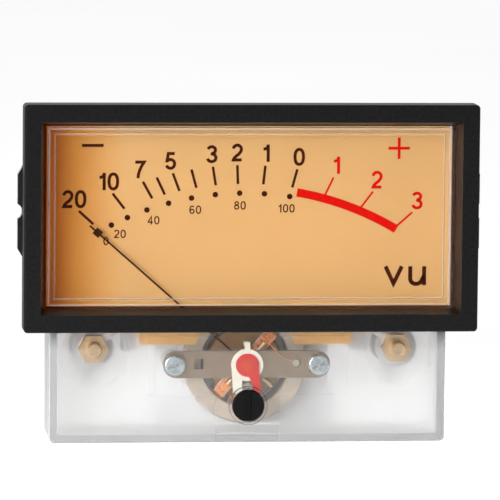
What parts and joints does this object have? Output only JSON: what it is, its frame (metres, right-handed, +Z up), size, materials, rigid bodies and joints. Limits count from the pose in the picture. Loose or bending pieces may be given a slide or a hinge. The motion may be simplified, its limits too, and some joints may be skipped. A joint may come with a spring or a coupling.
{
  "type": "analogue audio level panel meter",
  "caption": "Analogue level meter for a panel: black bezel, clear cover over an amber dial, moving coil movement with a sprung pointer, zero screw and rear terminals.",
  "frame": {"origin": "centre of the overall box in X and Y, at the underside of the lower body", "axes": "+X to the right as the dial is read, +Y from the bezel towards the rear terminals, +Z up"},
  "size_m": [0.0918, 0.028, 0.0676],
  "materials": {
    "black_plastic": "fine textured",
    "clear_plastic": "polished, transparent",
    "white_plastic": "satin, translucent",
    "amber_plastic": "satin, translucent, printed scale",
    "zinc_steel": "zinc plated",
    "plated_iron": "nickel plated",
    "magnet": "ground",
    "natural_nylon": "moulded",
    "phenolic": "moulded",
    "brass": "turned",
    "tinned": "tinned",
    "copper": "enamelled copper wire",
    "aluminium": "plain",
    "dark_aluminium": "painted",
    "hardened_steel": "polished",
    "spring_bronze": "plain",
    "jewel": "polished",
    "cream_plastic": "satin",
    "red_fibre": "varnished",
    "sealing_lacquer": "brass screw under red sealing lacquer",
    "red_wire": "insulated",
    "black_wire": "insulated",
    "board": "glass fibre laminate",
    "lamp_glass": "frosted"
  },
  "bodies": {
    "housing": {"front_bezel": "black_plastic", "clear_cover": "clear_plastic", "rear_case": "white_plastic", "dial_plate": "amber_plastic", "dial_screws": "zinc_steel", "yoke_ring": "plated_iron", "core_magnet": "magnet", "core_spacers": "phenolic", "movement_cradle": "natural_nylon", "cradle_screws": "zinc_steel", "front_bridge": "plated_iron", "bridge_screws": "zinc_steel", "front_jewel_screw": "sealing_lacquer", "front_jewel": "jewel", "friction_washer": "plated_iron", "rear_bridge": "plated_iron", "rear_bridge_screws": "zinc_steel", "rear_jewel_screw": "brass", "rear_jewel": "jewel", "jewel_lock_nut": "brass", "rear_spring_anchor": "tinned", "lead_out_wire": "copper", "solder_blob": "tinned", "rear_hairspring": "spring_bronze", "terminal_studs": "brass", "inner_terminal_nuts": "brass", "inner_solder_tags": "tinned", "outer_washers": "tinned", "outer_solder_tags": "tinned", "outer_terminal_nuts": "brass", "left_lead_wire": "red_wire", "right_lead_wire": "black_wire", "lamp_board": "board", "lamps": "lamp_glass", "lamp_pins": "brass"},
    "pointer": {"coil_former": "aluminium", "coil_winding": "copper", "front_staff": "hardened_steel", "rear_staff": "hardened_steel", "pointer": "dark_aluminium", "pointer_vane": "dark_aluminium", "balance_cross": "aluminium", "balance_weights": "brass"},
    "zero_lever": {"zero_lever": "cream_plastic", "zero_fork_arm": "red_fibre", "front_hairspring": "spring_bronze"},
    "zero_screw": {"zero_screw": "black_plastic", "zero_crank": "hardened_steel"}
  },
  "joints": [
    {"name": "pointer_swing", "type": "hinge", "parent": "housing", "child": "pointer", "pos_m": [0, 0, 0.0152], "axis": [0, 1, 0], "range_deg": [-1.5, 100], "stiffness_Nm_per_rad": 0.00001, "deforming": ["front_hairspring", "rear_hairspring"]},
    {"name": "zero_screw_turn", "type": "hinge", "parent": "housing", "child": "zero_screw", "pos_m": [0, 0, 0.0074], "axis": [0, 1, 0], "range_deg": [-12, 12]},
    {"name": "zero_lever_turn", "type": "hinge", "parent": "housing", "child": "zero_lever", "pos_m": [0, 0, 0.0152], "axis": [0, 1, 0], "range_deg": [-9.3, 9.3]}
  ],
  "couplings": [
    {"joint": "zero_lever_turn", "follows": "zero_screw_turn", "ratio": -0.7727}
  ]
}
